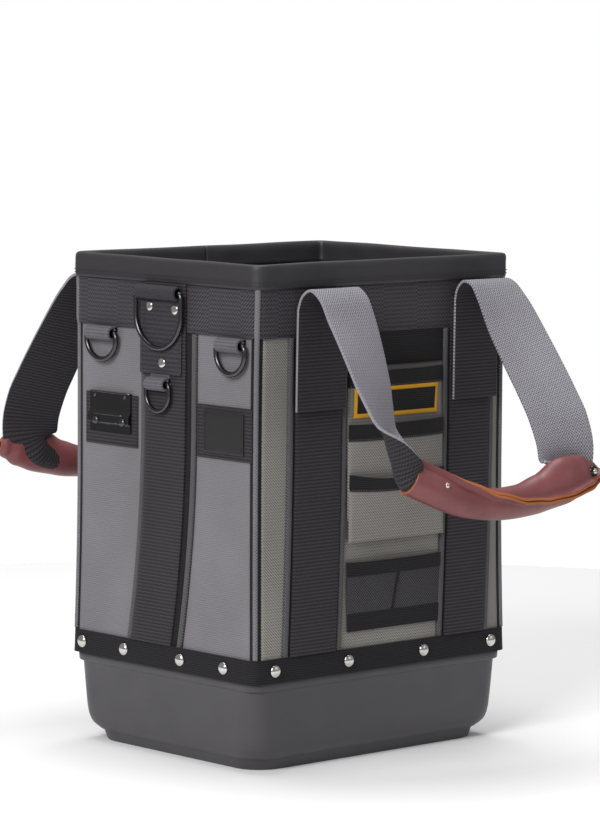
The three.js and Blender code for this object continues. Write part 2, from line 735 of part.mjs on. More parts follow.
const onStrap = strapOff + strapThickness + gap;
addPiece(sideGroups.left, 'ring_strap', makeTab(hungRings.large, onStrap, ringStrapLow), materials.webbing);
addRing('large_ring', hungRings.large, onStrap);
addPiece(sideGroups.left, 'small_ring_tab', makeTab(hungRings.small, onStrap, ringStrapLow - gap), materials.webbing);
addRing('small_ring', hungRings.small, onStrap);
for (const [name, ring] of [['left_ring', hungRings.left], ['right_ring', hungRings.right]]) {
  addPiece(sideGroups.left, `${name}_tab`, makeTab(ring, gap, upperBandLow - gap), materials.grayWebbing);
  addRing(name, ring, gap);
}

// Patches on the ringed side: a riveted steel clip plate at the left and a vinyl square at the right.
for (const [name, middle] of [['left_patch', leftPatchPlace], ['right_patch', rightPatchPlace]]) {
  addPiece(sideGroups.left, name, layer({
    side: sides.left, left: middle - patchWidth / 2, right: middle + patchWidth / 2,
    low: patchTop - patchHeight, high: patchTop, off: gap, thick: patchThickness, stepsZ: 2,
  }), materials.webbing);
}

const onPatch = gap + patchThickness + gap;
addPiece(sideGroups.left, 'vinyl_square', layer({
  side: sides.left, left: rightPatchPlace - vinylSize / 2, right: rightPatchPlace + vinylSize / 2,
  low: patchTop - patchHeight / 2 - vinylHeight / 2, high: patchTop - patchHeight / 2 + vinylHeight / 2,
  off: onPatch, thick: vinylThickness, stepsZ: 2,
}), materials.vinyl);

// The clip plate is pressed steel: a flat sheet with a raised tongue that narrows upward.
function makePlate() {
  const low = patchTop + plateRise - plateHeight;
  const shape = new THREE.Shape();
  const plateOut = onPatch + plateThickness;
  shape.moveTo(onPatch, low);
  shape.lineTo(plateOut, low);
  shape.lineTo(plateOut, low + 0.18 * plateHeight);
  shape.lineTo(plateOut + plateTongue, low + 0.24 * plateHeight);
  shape.lineTo(plateOut + plateTongue, low + 0.42 * plateHeight);
  shape.lineTo(plateOut, low + 0.52 * plateHeight);
  shape.lineTo(plateOut, low + plateHeight);
  shape.lineTo(onPatch, low + plateHeight);
  shape.closePath();
  return acrossSide(sides.left, shape, leftPatchPlace, plateWidth);
}

addPiece(sideGroups.left, 'clip_plate', makePlate(), materials.darkSteel);

export default object;
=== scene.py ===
import math

import bmesh
import bpy
from mathutils import Matrix, Vector, noise


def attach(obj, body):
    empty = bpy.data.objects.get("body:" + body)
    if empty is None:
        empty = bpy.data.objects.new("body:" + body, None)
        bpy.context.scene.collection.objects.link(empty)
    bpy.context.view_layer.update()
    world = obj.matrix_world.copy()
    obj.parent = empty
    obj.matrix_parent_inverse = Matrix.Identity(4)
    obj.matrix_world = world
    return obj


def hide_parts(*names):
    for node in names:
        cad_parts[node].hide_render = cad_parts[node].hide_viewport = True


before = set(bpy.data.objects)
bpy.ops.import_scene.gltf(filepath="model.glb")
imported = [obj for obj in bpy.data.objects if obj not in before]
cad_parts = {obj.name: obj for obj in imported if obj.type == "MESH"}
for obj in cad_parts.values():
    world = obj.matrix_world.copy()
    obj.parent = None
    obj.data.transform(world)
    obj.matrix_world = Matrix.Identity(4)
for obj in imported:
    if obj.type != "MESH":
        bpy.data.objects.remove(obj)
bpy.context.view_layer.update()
mm = 0.001

# Camera at the photograph's place: a long lens about 3.5 m off, a little above the bag.
lens = bpy.data.cameras.new("camera")
lens.lens, lens.sensor_width, lens.clip_end = 167.2, 36, 30
camera = bpy.data.objects.new("camera", lens)
bpy.context.collection.objects.link(camera)
camera.matrix_world = Matrix((
    (0.73907642, 0.06353898, -0.67061825, -2.31860),
    (-0.67359192, 0.07905342, -0.73486358, -2.55332),
    (0.00632219, 0.99484338, 0.10122586, 0.64372),
    (0, 0, 0, 1),
))
bpy.context.scene.camera = camera
print("camera placed")


def hexColor(value):
    channels = [((value >> shift) & 255) / 255 for shift in (16, 8, 0)]
    return tuple(c / 12.92 if c <= 0.04045 else ((c + 0.055) / 1.055) ** 2.4 for c in channels) + (1,)


def addNode(tree, kind, links=None, **settings):
    node = tree.nodes.new(kind)
    for name, value in settings.items():
        setattr(node, name, value)
    for name, value in (links or {}).items():
        if isinstance(value, bpy.types.NodeSocket):
            tree.links.new(value, node.inputs[name])
        else:
            node.inputs[name].default_value = value
    return node


def newMaterial(name):
    material = bpy.data.materials.new(name)
    material.use_nodes = True
    return material, material.node_tree, material.node_tree.nodes["Principled BSDF"]


# Woven cloth. The weave follows each piece's own UV map, which is in metres: across and along are the
# thread spacings in mm, slant leans the rows, turn flips the lean every so many threads, and cross
# is how far the rows break up into single threads. Spacings under 1 mm are drawn at 1 mm or more,
# the finest that shows.
weaves = {
    "gray canvas": {"dark": 0x585559, "light": 0x868388, "across": 1.9, "along": 1.9, "slant": 1, "turn": 0,
                    "cross": 0.6, "depth": 0.25, "rough": 0.9, "sheen": 0.05},
    "gray twill": {"dark": 0x494643, "light": 0xa3a09b, "across": 2.7, "along": 2.7, "slant": 1, "turn": 0,
                   "cross": 0.4, "depth": 0.4, "rough": 0.9, "sheen": 0.05},
    "black ballistic weave": {"dark": 0x020203, "light": 0x565259, "across": 3.4, "along": 3.6, "slant": 1,
                              "turn": 12, "cross": 0.55, "depth": 0.8, "rough": 0.75, "sheen": 0.04},
    "black webbing": {"dark": 0x09080a, "light": 0x434045, "across": 2.4, "along": 3.1, "slant": 0,
                      "turn": 0, "cross": 0.5, "depth": 0.7, "rough": 0.8, "sheen": 0.04},
    "fine black webbing": {"dark": 0x0c0b0d, "light": 0x47444a, "across": 1.5, "along": 1.9, "slant": 0,
                           "turn": 0, "cross": 0.7, "depth": 0.5, "rough": 0.8, "sheen": 0.04},
    "fine gray webbing": {"dark": 0x353338, "light": 0x76747a, "across": 1.5, "along": 1.9, "slant": 0,
                          "turn": 0, "cross": 0.7, "depth": 0.5, "rough": 0.8, "sheen": 0.05},
    "gray webbing": {"dark": 0x4c4a50, "light": 0xaeacb4, "across": 2.6, "along": 2.9, "slant": 0, "turn": 0,
                     "cross": 0.85, "depth": 0.8, "rough": 0.8, "sheen": 0.05},
    "piping tape": {"dark": 0x38363a, "light": 0x8d8b8f, "across": 1.5, "along": 2.6, "slant": 1, "turn": 2,
                    "cross": 0.2, "depth": 0.4, "rough": 0.85, "sheen": 0.05},
    "dark piping tape": {"dark": 0x232224, "light": 0x676568, "across": 1.5, "along": 2.6, "slant": 1,
                         "turn": 2, "cross": 0.2, "depth": 0.4, "rough": 0.85, "sheen": 0.05},
    "black grosgrain": {"dark": 0x080709, "light": 0x262427, "across": 2.0, "along": 2.0, "slant": 0,
                        "turn": 0, "cross": 0.3, "depth": 0.4, "rough": 0.75, "sheen": 0.03},
    "pocket mesh": {"dark": 0x040405, "light": 0x58565a, "across": 2.8, "along": 2.8, "slant": 0, "turn": 0,
                    "cross": 1, "depth": 0.7, "rough": 0.85, "sheen": 0},
    "lining cloth": {"dark": 0x1c1b1d, "light": 0x353337, "across": 2, "along": 2, "slant": 0, "turn": 0,
                     "cross": 1, "depth": 0.2, "rough": 0.9, "sheen": 0.02},
    "amber border": {"dark": 0xb07a0c, "light": 0xf0b52a, "across": 1.6, "along": 1.6, "slant": 1, "turn": 0,
                     "cross": 0.2, "depth": 0.3, "rough": 0.7, "sheen": 0.05},
}


def weaveMaterial(name, look):
    material, tree, shader = newMaterial(name)
    uv = addNode(tree, "ShaderNodeUVMap", uv_map="weave").outputs["UV"]
    scaled = addNode(tree, "ShaderNodeMapping", {
        "Vector": uv, "Scale": (1000 / look["across"], 1000 / look["along"], 1)}).outputs["Vector"]
    threads = addNode(tree, "ShaderNodeSeparateXYZ", {"Vector": scaled})
    lane = threads.outputs["X"]
    if look["turn"]:
        lane = addNode(tree, "ShaderNodeMath", {0: lane, 1: look["turn"]}, operation="PINGPONG").outputs[0]
    leaning = addNode(tree, "ShaderNodeMath", {0: lane, 1: look["slant"], 2: threads.outputs["Y"]},
                      operation="MULTIPLY_ADD").outputs[0]
    turned = addNode(tree, "ShaderNodeMath", {0: leaning, 1: 2 * math.pi}, operation="MULTIPLY").outputs[0]
    rows = addNode(tree, "ShaderNodeMath", {0: turned}, operation="SINE").outputs[0]
    crossing = addNode(tree, "ShaderNodeMath", {0: threads.outputs["X"], 1: 2 * math.pi},
                       operation="MULTIPLY").outputs[0]
    columns = addNode(tree, "ShaderNodeMath", {0: crossing}, operation="SINE").outputs[0]
    breakup = addNode(tree, "ShaderNodeMath", {0: columns, 1: look["cross"], 2: 1 - look["cross"]},
                      operation="MULTIPLY_ADD").outputs[0]
    relief = addNode(tree, "ShaderNodeMath", {0: rows, 1: breakup}, operation="MULTIPLY").outputs[0]
    fuzz = addNode(tree, "ShaderNodeTexNoise", {"Vector": uv, "Scale": 900, "Detail": 3, "Roughness": 0.7})
    height = addNode(tree, "ShaderNodeMath", {0: relief, 1: 0.5, 2: fuzz.outputs["Fac"]},
                     operation="MULTIPLY_ADD").outputs[0]
    tint = addNode(tree, "ShaderNodeMix", {
        "Factor": height, "A": hexColor(look["dark"]), "B": hexColor(look["light"])}, data_type="RGBA")
    coords = addNode(tree, "ShaderNodeTexCoord").outputs["Object"]
    patches = addNode(tree, "ShaderNodeTexNoise", {"Vector": coords, "Scale": 14, "Detail": 2})
    worn = addNode(tree, "ShaderNodeMapRange", {
        "Value": patches.outputs["Fac"], "From Min": 0.3, "From Max": 0.7, "To Min": 0.93, "To Max": 1.06})
    colour = addNode(tree, "ShaderNodeMix", {"Factor": 1.0, "A": tint.outputs["Result"],
                                             "B": worn.outputs["Result"]},
                     data_type="RGBA", blend_type="MULTIPLY")
    bump = addNode(tree, "ShaderNodeBump", {"Height": height, "Strength": look["depth"], "Distance": 0.0008})
    tree.links.new(colour.outputs["Result"], shader.inputs["Base Color"])
    tree.links.new(bump.outputs["Normal"], shader.inputs["Normal"])
    shader.inputs["Roughness"].default_value = look["rough"]
    shader.inputs["Sheen Weight"].default_value = look["sheen"]
    shader.inputs["Specular IOR Level"].default_value = 0.2
    return material


# Smooth and metal finishes. grain is the size in mm of the fine relief, and marks how far the
# roughness wanders.
surfaces = {
    "moulded plastic": {"colour": 0x3f3d41, "other": 0x39373b, "grain": 1.1, "depth": 0.06, "rough": 0.42,
                        "marks": 0.08, "metal": 0},
    "coated vinyl": {"colour": 0x2f2d31, "other": 0x28262a, "grain": 1.6, "depth": 0.12, "rough": 0.5,
                     "marks": 0.1, "metal": 0},
    "smooth vinyl": {"colour": 0x1b1a1c, "other": 0x161517, "grain": 1.2, "depth": 0.08, "rough": 0.5,
                     "marks": 0.06, "metal": 0},
    "oiled leather": {"colour": 0x85494a, "other": 0x5f3032, "grain": 2.2, "depth": 0.22, "rough": 0.45,
                      "marks": 0.2, "metal": 0},
    "cut leather edge": {"colour": 0xb5682f, "other": 0x8a4a20, "grain": 1, "depth": 0.4, "rough": 0.75,
                         "marks": 0.1, "metal": 0},
    "black nickel": {"colour": 0x58575b, "other": 0x4c4b50, "grain": 3, "depth": 0.03, "rough": 0.26,
                     "marks": 0.1, "metal": 1},
    "black enamelled steel": {"colour": 0x0e0e10, "other": 0x0a0a0c, "grain": 3, "depth": 0.02, "rough": 0.12,
                              "marks": 0.06, "metal": 0},
    "polished nickel": {"colour": 0xd6d2cf, "other": 0xbdb8b4, "grain": 2, "depth": 0.04, "rough": 0.16,
                        "marks": 0.08, "metal": 1},
    "black thread": {"colour": 0x19181a, "other": 0x2c2b2e, "grain": 0.8, "depth": 0.3, "rough": 0.6,
                     "marks": 0.05, "metal": 0},
    "dark gray thread": {"colour": 0x58565a, "other": 0x434145, "grain": 0.8, "depth": 0.3, "rough": 0.6,
                         "marks": 0.05, "metal": 0},
    "gray thread": {"colour": 0xa9a7ab, "other": 0x7c7a7e, "grain": 0.8, "depth": 0.3, "rough": 0.6,
                    "marks": 0.05, "metal": 0},
    "burgundy thread": {"colour": 0x5a3032, "other": 0x482426, "grain": 0.8, "depth": 0.3, "rough": 0.6,
                        "marks": 0.05, "metal": 0},
}


def surfaceMaterial(name, look):
    material, tree, shader = newMaterial(name)
    coords = addNode(tree, "ShaderNodeTexCoord").outputs["Object"]
    grain = addNode(tree, "ShaderNodeTexNoise", {
        "Vector": coords, "Scale": 1000 / look["grain"], "Detail": 4, "Roughness": 0.6})
    cloud = addNode(tree, "ShaderNodeTexNoise", {"Vector": coords, "Scale": 38, "Detail": 3})
    tint = addNode(tree, "ShaderNodeMix", {
        "Factor": cloud.outputs["Fac"], "A": hexColor(look["colour"]), "B": hexColor(look["other"])},
        data_type="RGBA")
    rough = addNode(tree, "ShaderNodeMapRange", {
        "Value": cloud.outputs["Fac"], "From Min": 0.3, "From Max": 0.7,
        "To Min": look["rough"] - look["marks"] / 2, "To Max": look["rough"] + look["marks"] / 2})
    bump = addNode(tree, "ShaderNodeBump", {
        "Height": grain.outputs["Fac"], "Strength": look["depth"], "Distance": 0.0005})
    tree.links.new(tint.outputs["Result"], shader.inputs["Base Color"])
    tree.links.new(rough.outputs["Result"], shader.inputs["Roughness"])
    tree.links.new(bump.outputs["Normal"], shader.inputs["Normal"])
    shader.inputs["Metallic"].default_value = look["metal"]
    return material


finishes = {name: weaveMaterial(name, look) for name, look in weaves.items()}
finishes.update({name: surfaceMaterial(name, look) for name, look in surfaces.items()})
print("materials made")

# The cloth body, in mm. Each side has its own frame: u to the right as seen from outside, out from
# the cloth, and z.
tote = {"waist": 265, "bandTop": 100.1, "bandLow": 79.3, "top": 437, "corner": 7, "upperBandLow": 376,
        "rimLow": 418.5}
sides = {
    "front": {"turn": 0, "half": 120, "low": 2.5, "high": 1.5},
    "right": {"turn": 90, "half": 149, "low": 1.5, "high": -1},
    "rear": {"turn": 180, "half": 120, "low": 2.5, "high": 1.5},
    "left": {"turn": -90, "half": 149, "low": 1.5, "high": -1},
}


def clothLine(name, z):
    side = sides[name]
    if z < tote["waist"]:
        return side["half"] + side["low"] * ((tote["waist"] - z) / (tote["waist"] - tote["bandTop"])) ** 2
    return side["half"] + side["high"] * ((z - tote["waist"]) / (tote["top"] - tote["waist"])) ** 2


def onSide(name, u, out, z):
    turned = Matrix.Rotation(math.radians(sides[name]["turn"]), 3, "Z")
    return turned @ Vector((u, -(clothLine(name, z) + out), z)) * mm


def ringPoint(share, halfX, halfY, radius, z):
    share = (share + 0.5) % 1
    runs = [("line", halfX - radius), ("arc", 0), ("line", 2 * (halfY - radius)), ("arc", 1),
            ("line", 2 * (halfX - radius)), ("arc", 2), ("line", 2 * (halfY - radius)), ("arc", 3),
            ("line", halfX - radius)]
    starts = [(0, -halfY), (halfX - radius, -halfY + radius), (halfX, -halfY + radius),
              (halfX - radius, halfY - radius), (halfX - radius, halfY), (-halfX + radius, halfY - radius),
              (-halfX, halfY - radius), (-halfX + radius, -halfY + radius), (-halfX + radius, -halfY)]
    headings = [(1, 0), -90, (0, 1), 0, (-1, 0), 90, (0, -1), 180, (1, 0)]
    arc = math.pi * radius / 2
    lengths = [arc if kind == "arc" else value for kind, value in runs]
    along = share * sum(lengths)
    for i, length in enumerate(lengths):
        if along <= length or i == len(lengths) - 1:
            break
        along -= length
    x, y = starts[i]
    if runs[i][0] == "arc":
        angle = math.radians(headings[i] + 90 * min(along / arc, 1))
        return Vector((x + radius * math.cos(angle), y + radius * math.sin(angle), z)) * mm
    return Vector((x + headings[i][0] * along, y + headings[i][1] * along, z)) * mm


def aroundBody(share, out, z):
    return ringPoint(share, clothLine("left", z) + out, clothLine("front", z) + out,
                     max(tote["corner"] + out, 0.8), z)


bodyLength = 2 * (298 + 240) - 8 * 7 + 2 * math.pi * 7


def wander(x, y, z=0.0):
    return noise.noise(Vector((x, y, z)))


def finishMesh(shape, name, materials, body="bag", smooth=True):
    mesh = bpy.data.meshes.new(name)
    shape.to_mesh(mesh)
    shape.free()
    piece = bpy.data.objects.new(name, mesh)
    bpy.context.collection.objects.link(piece)
    for finish in materials:
        mesh.materials.append(finishes[finish])
    for polygon in mesh.polygons:
        polygon.use_smooth = smooth
    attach(piece, body)
    return piece


def gridShape(place, size, steps, closed=False):
    shape = bmesh.new()
    weave = shape.loops.layers.uv.new("weave")
    bmesh.ops.create_grid(shape, x_segments=steps[0], y_segments=steps[1], size=0.5)
    for face in shape.faces:
        for loop in face.loops:
            at = loop.vert.co
            loop[weave].uv = ((at.x + 0.5) * size[0] * mm, (at.y + 0.5) * size[1] * mm)
    for vert in shape.verts:
        vert.co = place(vert.co.x + 0.5, vert.co.y + 0.5)
    if closed:
        bmesh.ops.remove_doubles(shape, verts=shape.verts, dist=1e-6)
    return shape


def thicken(piece, thick, offset=-1, inner=0, rim=0, bevel=0.0):
    solid = piece.modifiers.new("thickness", "SOLIDIFY")
    solid.thickness, solid.offset = thick * mm, offset
    solid.material_offset, solid.material_offset_rim = inner, rim
    if bevel:
        edge = piece.modifiers.new("edge", "BEVEL")
        edge.width, edge.segments, edge.limit_method = bevel * mm, 2, "ANGLE"
    return piece


def soften(piece, levels=1):
    smoother = piece.modifiers.new("smooth", "SUBSURF")
    smoother.levels = smoother.render_levels = levels
    return piece


def edgeAt(value, z):
    return value(z) if callable(value) else value


# A sheet of cloth that lies on one side of the body, between left and right and low and high.
def layerCloth(name, side, left, right, low, high, out, thick, materials, steps, nodes=(), held="stretched",
               restsOn=(), inner=0, rim=0, bevel=0.3, sag=None):
    width = edgeAt(right, (low + high) / 2) - edgeAt(left, (low + high) / 2)

    def place(s, t):
        z = low + t * (high - low)
        u = edgeAt(left, z) + s * (edgeAt(right, z) - edgeAt(left, z))
        outward = out(s, t) if callable(out) else out
        return onSide(side, u, outward, z + (sag(s, t) if sag else 0))

    piece = finishMesh(gridShape(place, (width, high - low), steps), name, materials)
    thicken(piece, thick, inner=inner, rim=rim, bevel=bevel)
    if nodes:
        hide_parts(*nodes)
    return piece


# Moulded tray: rows of the outside from the foot to the lip, then down the inside to the floor.
trayShape = {
    "lip": (150.4, 122.7), "height": 79, "drop": 72, "wall": 3.2,
    "outside": [(14.5, 0, 26), (13.9, 0.8, 26), (11.5, 8.6, 27), (10.9, 9.6, 27), (9.0, 10.6, 26.5),
                (7.4, 12.5, 26), (5.4, 15.2, 24.5), (4.1, 18.6, 23), (3.3, 23, 21.5), (2.9, 29, 20),
                (2.4, 40, 19), (1.9, 55, 17.5), (1.5, 68, 16.4), (1.35, 71, 16.2)],
    "lipRows": [(0.4, 72, 12), (0.0, 72.8, 11.6), (0.0, 77.8, 10.4), (0.5, 78.8, 10)],
}


def makeTray():
    lipX, lipY = trayShape["lip"]
    rows = [(lipX - inset, lipY - inset, radius, z) for inset, z, radius in trayShape["outside"]]
    rows += [(lipX - inset, lipY - inset, radius, z) for inset, z, radius in trayShape["lipRows"]]
    flange = 2.9
    for inset, z in [(flange, 79), (flange, 96.6), (flange + 0.6, 97), (flange + 2.6, 97), (flange + 3.2, 96.6),
                     (flange + 3.2, 80)]:
        rows.append((clothLine("left", z) - inset, clothLine("front", z) - inset, max(7 - inset, 1.2), z))
    for inset, z, radius in reversed(trayShape["outside"][4:]):
        if z > 6:
            rows.append((lipX - inset - 5.2, lipY - inset - 5.2, max(radius - 5.2, 4), z))
    rows.append((lipX - 14.6, lipY - 14.6, 20, 6.2))
    rows.append((lipX - 17, lipY - 17, 19, 5))

    def place(s, t):
        halfX, halfY, radius, z = rows[round(t * (len(rows) - 1))]
        return ringPoint(s, halfX, halfY, radius, z)

    shape = gridShape(place, (bodyLength, 200), (200, len(rows) - 1), closed=True)
    bmesh.ops.holes_fill(shape, edges=[e for e in shape.edges if e.is_boundary], sides=0)
    bmesh.ops.recalc_face_normals(shape, faces=shape.faces)
    piece = finishMesh(shape, "base_tray_moulding", ["moulded plastic"])
    edge = piece.modifiers.new("split", "EDGE_SPLIT")
    edge.split_angle = math.radians(38)
    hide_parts("base_tray")


makeTray()
print("tray made")

# Cloth walls. A little slack shows between the straps, and the cloth is drawn in along its seams.
panelNames = {"front": "gray twill", "rear": "gray twill", "left": "gray canvas", "right": "gray canvas"}
for side, cloth in panelNames.items():
    other = "left" if side in ("front", "rear") else "front"
    seed = sides[side]["turn"]

    def slack(s, t, seed=seed):
        middle = math.sin(math.pi * s) ** 0.5 if 0 < s < 1 else 0
        return -0.25 + 0.22 * middle * wander(s * 7 + seed, t * 9)

    reach = lambda z, other=other: clothLine(other, z) - tote["corner"] - 0.15
    layerCloth(f"{side}_panel_cloth", side, lambda z, r=reach: -r(z), reach, tote["bandLow"], 436.7, slack, 2.2,
               [cloth, "lining cloth"], (60, 70), nodes=[f"{side}_panel"], restsOn=["base_tray"],
               inner=1, bevel=0)

# Corner pipings: a taped cord, with a black seam strip on both sides. The strip is a real seam, but its black is
# painted shadow beside the raised cord.
piping = {"bead": 2.6, "half": 18}
for number, (signX, signY, start) in enumerate([(1, 1, 0), (-1, 1, 90), (-1, -1, 180), (1, -1, 270)], 1):
    def cornerPoint(angle, out, z, signX=signX, signY=signY):
        radius = tote["corner"] + out
        return Vector((signX * (clothLine("left", z) - tote["corner"]) + radius * math.cos(angle),
                       signY * (clothLine("front", z) - tote["corner"]) + radius * math.sin(angle), z)) * mm

    def tapePlace(s, t, start=start, cornerPoint=cornerPoint):
        z = tote["bandTop"] + 0.5 + t * (tote["rimLow"] + 1 - tote["bandTop"] - 0.5)
        over = 1.1 if z > tote["upperBandLow"] else 0.1
        angle = math.radians(start + 45 + (s - 0.5) * 2 * piping["half"])
        return cornerPoint(angle, over + piping["bead"] * math.sqrt(max(0, 1 - (2 * s - 1) ** 2)), z)

    def shadowSeamPlace(s, t, start=start, cornerPoint=cornerPoint):
        z = 79.4 + t * (436.6 - 79.4)
        return cornerPoint(math.radians(start + 90 * s), -0.15, z)

    length = tote["rimLow"] - tote["bandTop"]
    # The seam strip is black grosgrain: painted shadow showing on both sides of the piping.
    seam_and_shadow = finishMesh(gridShape(shadowSeamPlace, (11, 357), (8, 40)), f"corner_{number}_seam",
                      ["black grosgrain", "lining cloth"])
    thicken(seam_and_shadow, 2.2, inner=1)
    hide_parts(f"corner_piping_{number}")
    tape = finishMesh(gridShape(tapePlace, (9, length), (10, 80)), f"corner_{number}_piping", ["piping tape"])
print("walls made")

# Bands round the body.
def bandCloth(name, out, low, high, thick, cloth, node, ripple=0.0, seamGap=0):
    def place(s, t):
        z = low + t * (high - low)
        return aroundBody(s, out + ripple * wander(s * 60, t * 2), z + 0.25 * wander(s * 30, 7) * (1 - t))

    piece = finishMesh(gridShape(place, (bodyLength, high - low), (320, 8), closed=True), name, [cloth])
    thicken(piece, thick, bevel=0.25)
    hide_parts(node)
    return piece


bandCloth("upper_band_cloth", 1.5, tote["upperBandLow"], 436.7, 1.1, "black ballistic weave", "upper_band", 0.1)
bandCloth("base_band_webbing", 2.1, tote["bandLow"], tote["bandTop"], 1.7, "black grosgrain", "base_band", 0.12)

# Rim binding: coated cloth folded over the top edge. It is a little loose, so its faces wander.
rimProfile = [(3.6, 418.6), (4.3, 419.4), (4.5, 422), (4.45, 427), (4.4, 432), (4.5, 435.6), (4.1, 438), (3.0, 439.4),
              (1.2, 440), (-1.4, 440), (-3.4, 439.5), (-4.7, 438), (-5.2, 435.6), (-5.2, 431), (-5.1, 426),
              (-5.2, 421.6), (-4.6, 420.6)]


def rimPlace(s, t):
    at = t * (len(rimProfile) - 1)
    i = min(int(at), len(rimProfile) - 2)
    part = at - i
    out = rimProfile[i][0] * (1 - part) + rimProfile[i + 1][0] * part
    z = rimProfile[i][1] * (1 - part) + rimProfile[i + 1][1] * part
    loose = wander(s * 46, t * 3)
    outward = 0.55 * loose if 2 < at < 15 else 0.2 * loose
    return aroundBody(s, out + outward, z - 0.5 - 0.7 * wander(s * 13, 3) * min(1, (z - 418) / 10))


rim = finishMesh(gridShape(rimPlace, (bodyLength, 48), (360, 32), closed=True), "rim_binding_vinyl",
                 ["coated vinyl"])
thicken(rim, 0.9)
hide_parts("rim_binding")
print("bands made")

# Straps of 2 inch webbing on a backing whose two edges are piped.
strap = {"width": 53, "left": -79, "right": 106, "top": 404, "low": 100.4, "margin": 8, "pipe": 6.4}


def leanAt(z, lean):
    fall = max(0, tote["waist"] + 35 - z) / (tote["waist"] + 35 - tote["bandTop"])
    return lean * fall ** 2


def makeStrap(side, name, place, lean, high, backing=True, rightHalf=26.5, rightMargin=8):
    half = strap["width"] / 2
    wide = half + strap["margin"]
    backRight = rightHalf + rightMargin
    middle = lambda z: place + leanAt(z, lean)

    def camber(s, t):
        edge = abs(2 * s - 1)
        return 4.0 - 0.5 * max(0, edge - 0.86) / 0.14 + 0.12 * wander(s * 3, t * 16 + len(name))

    layerCloth(f"{name}_strap_webbing", side, lambda z: middle(z) - half, lambda z: middle(z) + rightHalf,
               strap["low"], high, camber if backing else 2.7, 2.1, ["black webbing"], (16, 90),
               nodes=[f"{name}_strap"], restsOn=[f"{side}_panel_cloth"])
    if not backing:
        return

    def piped(s, t):
        inset = min(s, 1 - s) * (wide + backRight)
        if inset > strap["pipe"]:
            return 1.5
        roll = math.sqrt(max(0, 1 - (2 * inset / strap["pipe"] - 1) ** 2))
        return 0.6 + 2.5 * roll

    layerCloth(f"{name}_strap_backing_cloth", side, lambda z: middle(z) - wide + strap["pipe"],
               lambda z: middle(z) + backRight - strap["pipe"], strap["low"], tote["upperBandLow"] - 0.3,
               1.5, 1.1, ["black grosgrain"], (8, 40), nodes=[f"{name}_strap_backing"],
               restsOn=[f"{side}_panel_cloth"], bevel=0)
    for edgeName, sign, reach in [("left", -1, wide), ("right", 1, backRight)]:
        inner = reach - strap["pipe"]
        bead = lambda s, t: 0.6 + 2.5 * math.sqrt(max(0, 1 - (2 * s - 1) ** 2))
        near, far = sorted([sign * inner, sign * reach])
        layerCloth(f"{name}_strap_{edgeName}_piping", side, lambda z, near=near: middle(z) + near,
                   lambda z, far=far: middle(z) + far, strap["low"], tote["upperBandLow"] - 0.3, bead, 0.5,
                   ["dark piping tape"], (10, 60), bevel=0)


for side, lean in [("front", -7), ("rear", 0)]:
    makeStrap(side, f"{side}_left", strap["left"], lean, strap["top"])
    makeStrap(side, f"{side}_right", strap["right"], lean, strap["top"], rightHalf=22.5, rightMargin=7)
makeStrap("left", "left", 5, -17, 418.2, rightMargin=13)
makeStrap("right", "right", 0, 0, 375.7, backing=False)
print("straps made")

# Handles. Each row is a point of the webbing's middle line in mm, the way across it, and how far it
# is rolled up: from the left strap over the crest, down to the grip and back to the right strap.
handle = {"width": 53, "widthLeft": 57, "thick": 2.4, "roll": 320, "sewn": 88, "sewnOff": 5.5, "sewnTop": 400,
          "left": -81, "right": 105.5}
handleRows = [
    (-81, -131.8, 413, (1, 0, 0), 0), (-81, -143.6, 419.5, (1, 0, 0), 0), (-80.5, -156.6, 411.5, (1, 0, 0), 0),
    (-80, -167, 393, (1, 0.02, 0), 0), (-79.5, -180.5, 367, (1, 0.15, 0), 0),
    (-78.5, -193, 338, (0.96, 0.28, 0), 0.01), (-77, -204.5, 307, (0.86, 0.52, 0), 0.05),
    (-72, -215, 281, (0.55, 0.85, 0.1), 0.5), (-62, -222, 259, (0.2, 1, 0.1), 1),
    (-44, -228, 250.5, (0, 1, 0), 1), (-16, -233, 239, (0, 1, 0), 1), (16, -237, 233.5, (0, 0.95, 0.3), 1),
    (48, -238.5, 232.5, (0, 0.7, 0.7), 1), (76, -239, 236, (0, 0.3, 0.95), 1),
    (93, -237.5, 241.5, (-0.1, 0.1, 0.99), 1), (105, -236, 248, (-0.5, 0.1, 0.85), 0.9),
    (111.5, -234.5, 259, (-0.92, 0.2, 0.2), 0.14), (112, -235.5, 276, (-0.93, 0.36, 0.03), 0.03),
    (111, -227.5, 301, (-0.88, 0.46, 0), 0.01), (110.5, -212, 326, (-0.89, 0.44, 0), 0),
    (109.5, -195.5, 350, (-0.9, 0.42, 0), 0), (107.5, -176, 380, (-0.95, 0.32, 0), 0),
    (106, -161.5, 404, (-1, 0.12, 0), 0), (105.5, -149.5, 417.5, (-1, 0, 0), 0),
    (105.5, -138, 419.5, (-1, 0, 0), 0), (105.5, -129.4, 411.5, (-1, 0, 0), 0),
]
sewnShares = [0, 0.04, 0.12, 0.4, 0.7, 1]


def sewnStation(place, across, share):
    z = handle["sewnTop"] - handle["sewn"] * share
    return Vector((place, -(clothLine("front", z) + handle["sewnOff"]), z)), Vector(across), 0


stations = [sewnStation(handle["left"], (1, 0, 0), share) for share in reversed(sewnShares)]
stations += [(Vector(row[:3]), Vector(row[3]), row[4]) for row in handleRows]
stations += [sewnStation(handle["right"], (-1, 0, 0), share) for share in sewnShares]


